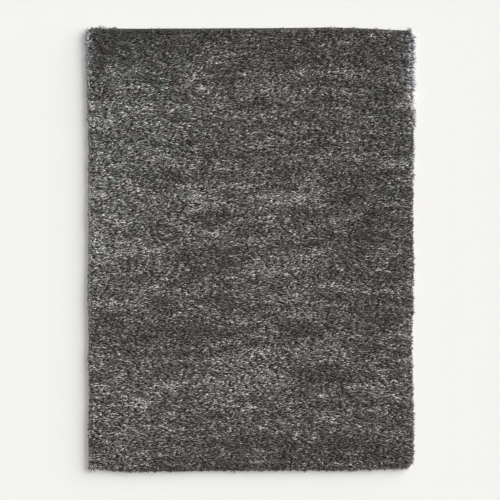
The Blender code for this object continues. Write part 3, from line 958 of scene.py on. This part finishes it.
def build_stitch_shape(material):
    """One stitch, along +X where the edge runs and +Y outwards: a four-sided thread."""
    half = STITCH_THREAD / 2
    points, faces = [], []
    for k, (out, height) in enumerate(STITCH_WAY):
        before, beyond = STITCH_WAY[max(k - 1, 0)], STITCH_WAY[min(k + 1, len(STITCH_WAY) - 1)]
        way = Vector((0, beyond[0] - before[0], beyond[1] - before[1])).normalized()
        normal = Vector((0, -way.z, way.y))
        middle = Vector((0, out, height)) * MM
        along = Vector((half, 0, 0))
        up = normal * half * STITCH_THICKNESS
        points += [middle - along, middle + up, middle + along, middle - up]
    for k in range(len(STITCH_WAY) - 1):
        for turn in range(4):
            after = (turn + 1) % 4
            faces.append((4 * k + turn, 4 * k + after, 4 * k + 4 + after, 4 * k + 4 + turn))
    faces.append((3, 2, 1, 0))
    faces.append(tuple(range(len(points) - 4, len(points))))
    stitch = new_piece("stitch_shape", points, faces, material)
    stitch.data.shade_smooth()
    return stitch


def stitch_tree(stitch):
    """Winds stitches round a line, one at each pitch."""
    tree, given = new_tree("overcast_stitches", STITCH_INPUTS)
    line = add(tree, "GeometryNodeMeshToCurve", {"Mesh": given["Line"]})
    places = add(tree, "GeometryNodeCurveToPoints", {"Curve": line.outputs[0],
                                                     "Length": given["Pitch"]}, mode="LENGTH")
    run = add(tree, "ShaderNodeSeparateXYZ", {0: places.outputs["Tangent"]})
    yaw = calculate(tree, "ARCTAN2", run.outputs["Y"], run.outputs["X"])
    yaw = calculate(tree, "ADD", yaw, calculate(tree, "ADD", given["Slant"],
                                                chance(tree, -0.06, 0.06, 71)))
    size = combine(tree, chance(tree, 0.9, 1.15, 72), 1.0, chance(tree, 0.95, 1.08, 73))
    source = add(tree, "GeometryNodeObjectInfo", {"Object": stitch})
    wound = add(tree, "GeometryNodeInstanceOnPoints",
                {"Points": places.outputs["Points"], "Instance": source.outputs["Geometry"],
                 "Rotation": combine(tree, z=yaw), "Scale": size})
    plain = add(tree, "GeometryNodeRealizeInstances", {0: wound.outputs[0]})
    return finish_tree(tree, plain.outputs[0], given["Material"])


def build_binding():
    """Dresses the binding in its yarn and winds the stitches round it."""
    material = binding_material()
    core = frame["nodes"]["head_binding"]
    core.data.materials.clear()
    core.data.materials.append(material)
    back = max(vertex.co.z for vertex in core.data.vertices)
    line = sorted({(round(vertex.co.x, 5), round(vertex.co.y, 5)) for vertex in core.data.vertices
                   if vertex.co.z > back - SAME_PLACE})
    path = bpy.data.meshes.new("binding_line")
    edges = [(k, k + 1) for k in range(len(line) - 1)]
    path.from_pydata([(*place, 0.0) for place in line], edges, [])
    guide = bpy.data.objects.new("binding_line", path)
    stitch = build_stitch_shape(material)
    stitches = grow("binding_stitches", guide, stitch_tree(stitch), {"Material": material})
    drop(guide, stitch)
    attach(stitches, "root")


# ---- The scene ----------------------------------------------------------------------------------

PICTURE_PIXELS = 500                 # across the square picture
MM_PER_PIXEL = 5.198                 # at the floor
PICTURE_CENTRE = (-0.0035, 0.0025)   # what the camera looks at
CAMERA_LENS, CAMERA_SENSOR = 150.0, 36.0
FLOOR_HALF = 30.0                    # half the floor's side


def build_camera():
    """The picture's camera, straight above the rug."""
    camera = new_object("camera", bpy.data.cameras.new("camera"))
    camera.data.lens = CAMERA_LENS
    camera.data.sensor_width = CAMERA_SENSOR
    distance = PICTURE_PIXELS / 2 * MM_PER_PIXEL * MM * CAMERA_LENS / (CAMERA_SENSOR / 2)
    camera.location = (*PICTURE_CENTRE, distance)
    camera.data.clip_end = 100.0
    bpy.context.scene.camera = camera


def add_lamp(name, azimuth, elevation, spread, strength):
    """A soft studio lamp, far away: azimuth from +X towards +Y, spread as the angle it fills."""
    light = bpy.data.lights.new(name, "SUN")
    light.energy = strength
    light.angle = math.radians(spread)
    a, e = math.radians(azimuth), math.radians(elevation)
    towards = Vector((math.cos(a) * math.cos(e), math.sin(a) * math.cos(e), math.sin(e)))
    new_object(name, light).rotation_euler = towards.to_track_quat("Z", "Y").to_euler()


def build_studio():
    """The floor, a low and wide lamp for the soft shadows, a high one, and a dim white surround."""
    corners = [(x * FLOOR_HALF, y * FLOOR_HALF, -CLEARANCE) for x, y in CORNERS]
    floor = new_piece("floor", corners, [(0, 1, 2, 3)], floor_material())
    add_lamp("side_lamp", azimuth=28, elevation=11, spread=69, strength=7.96)
    add_lamp("top_lamp", azimuth=28, elevation=77, spread=8, strength=1.07)
    world = bpy.data.worlds.new("studio")
    bpy.context.scene.world = world
    world.use_nodes = True
    background = world.node_tree.nodes["Background"]
    feed(world.node_tree, background, {"Color": linear("#ffffff"), "Strength": 0.056})
    bpy.context.scene.view_settings.view_transform = "Standard"


def main():
    """Builds the rug and its studio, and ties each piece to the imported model."""
    slab, edge = slab_surface()
    ground = build_ground(edge, ground_material())
    roots = build_roots(edge, slab, roots_material())
    rim_bed = build_rim_bed(edge)
    tuft_bed = build_tuft_bed(slab)
    seed_from_edge(roots, edge)
    seed_from_edge(rim_bed, edge, slab)
    yarns = grow_pile(roots, rim_bed, tuft_bed)
    drop(rim_bed, tuft_bed)
    for name in ("room", "way_out", "lighter"):
        roots.data.attributes.remove(roots.data.attributes[name])
    for piece in (ground, roots, *yarns):
        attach(piece, "root")
        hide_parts("shag_pile")
    build_binding()
    build_camera()
    build_studio()


main()
